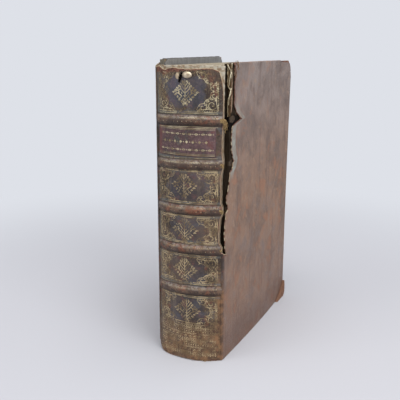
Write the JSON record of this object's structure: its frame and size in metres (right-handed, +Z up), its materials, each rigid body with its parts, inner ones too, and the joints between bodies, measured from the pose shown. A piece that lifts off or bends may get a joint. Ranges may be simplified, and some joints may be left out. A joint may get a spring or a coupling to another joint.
{
  "type": "antique leather book",
  "caption": "thick octavo in worn calf with raised bands and gilt spine, title label, front joint torn open, both covers hinged",
  "frame": {"origin": "on the floor under the middle of the whole book's box", "axes": "+Z up, head of the book; the spine faces -Y; the front cover's outer side faces +X"},
  "size_m": [0.0645, 0.1398, 0.2024],
  "materials": {
    "spine_leather": "worn polished calf",
    "cover_leather": "worn polished calf",
    "label_leather": "dark red morocco",
    "pasteboard": "laminated, frayed",
    "leaves": "rag paper, dusty edges",
    "lining_paper": "coarse waste paper with glue",
    "marbled_paper": "combed marbling",
    "cord": "hemp",
    "endband_thread": "thread over a core",
    "brass": "pale, tarnished"
  },
  "bodies": {
    "book_block": {"text_block": "leaves", "sewing_cord_1": "cord", "sewing_cord_2": "cord", "sewing_cord_3": "cord", "sewing_cord_4": "cord", "sewing_cord_5": "cord", "spine_lining_1": "lining_paper", "spine_lining_2": "lining_paper", "spine_lining_3": "lining_paper", "spine_lining_4": "lining_paper", "spine_lining_5": "lining_paper", "spine_lining_6": "lining_paper", "tail_endband": "endband_thread", "spine_leather": "spine_leather", "title_label": "label_leather", "head_tack": "brass", "front_joint_leather": "spine_leather", "rear_joint_leather": "spine_leather"},
    "front_cover": {"front_board": "pasteboard", "front_cover_leather": "cover_leather", "front_pastedown": "marbled_paper", "front_slip_1": "cord", "front_slip_2": "cord", "front_slip_3": "cord", "front_slip_4": "cord", "front_slip_5": "cord"},
    "rear_cover": {"rear_board": "pasteboard", "rear_cover_leather": "cover_leather", "rear_pastedown": "marbled_paper", "rear_slip_1": "cord", "rear_slip_2": "cord", "rear_slip_3": "cord", "rear_slip_4": "cord", "rear_slip_5": "cord"}
  },
  "joints": [
    {"name": "front_cover_hinge", "type": "hinge", "parent": "book_block", "child": "front_cover", "pos_m": [0.03043, -0.05858, 0.1], "axis": [0, 0, -1], "range_deg": [0, 160], "deforming": ["front_joint_leather"]},
    {"name": "rear_cover_hinge", "type": "hinge", "parent": "book_block", "child": "rear_cover", "pos_m": [-0.01817, -0.05858, 0.1], "axis": [0, 0, 1], "range_deg": [-6, 154], "deforming": ["rear_joint_leather"]}
  ]
}
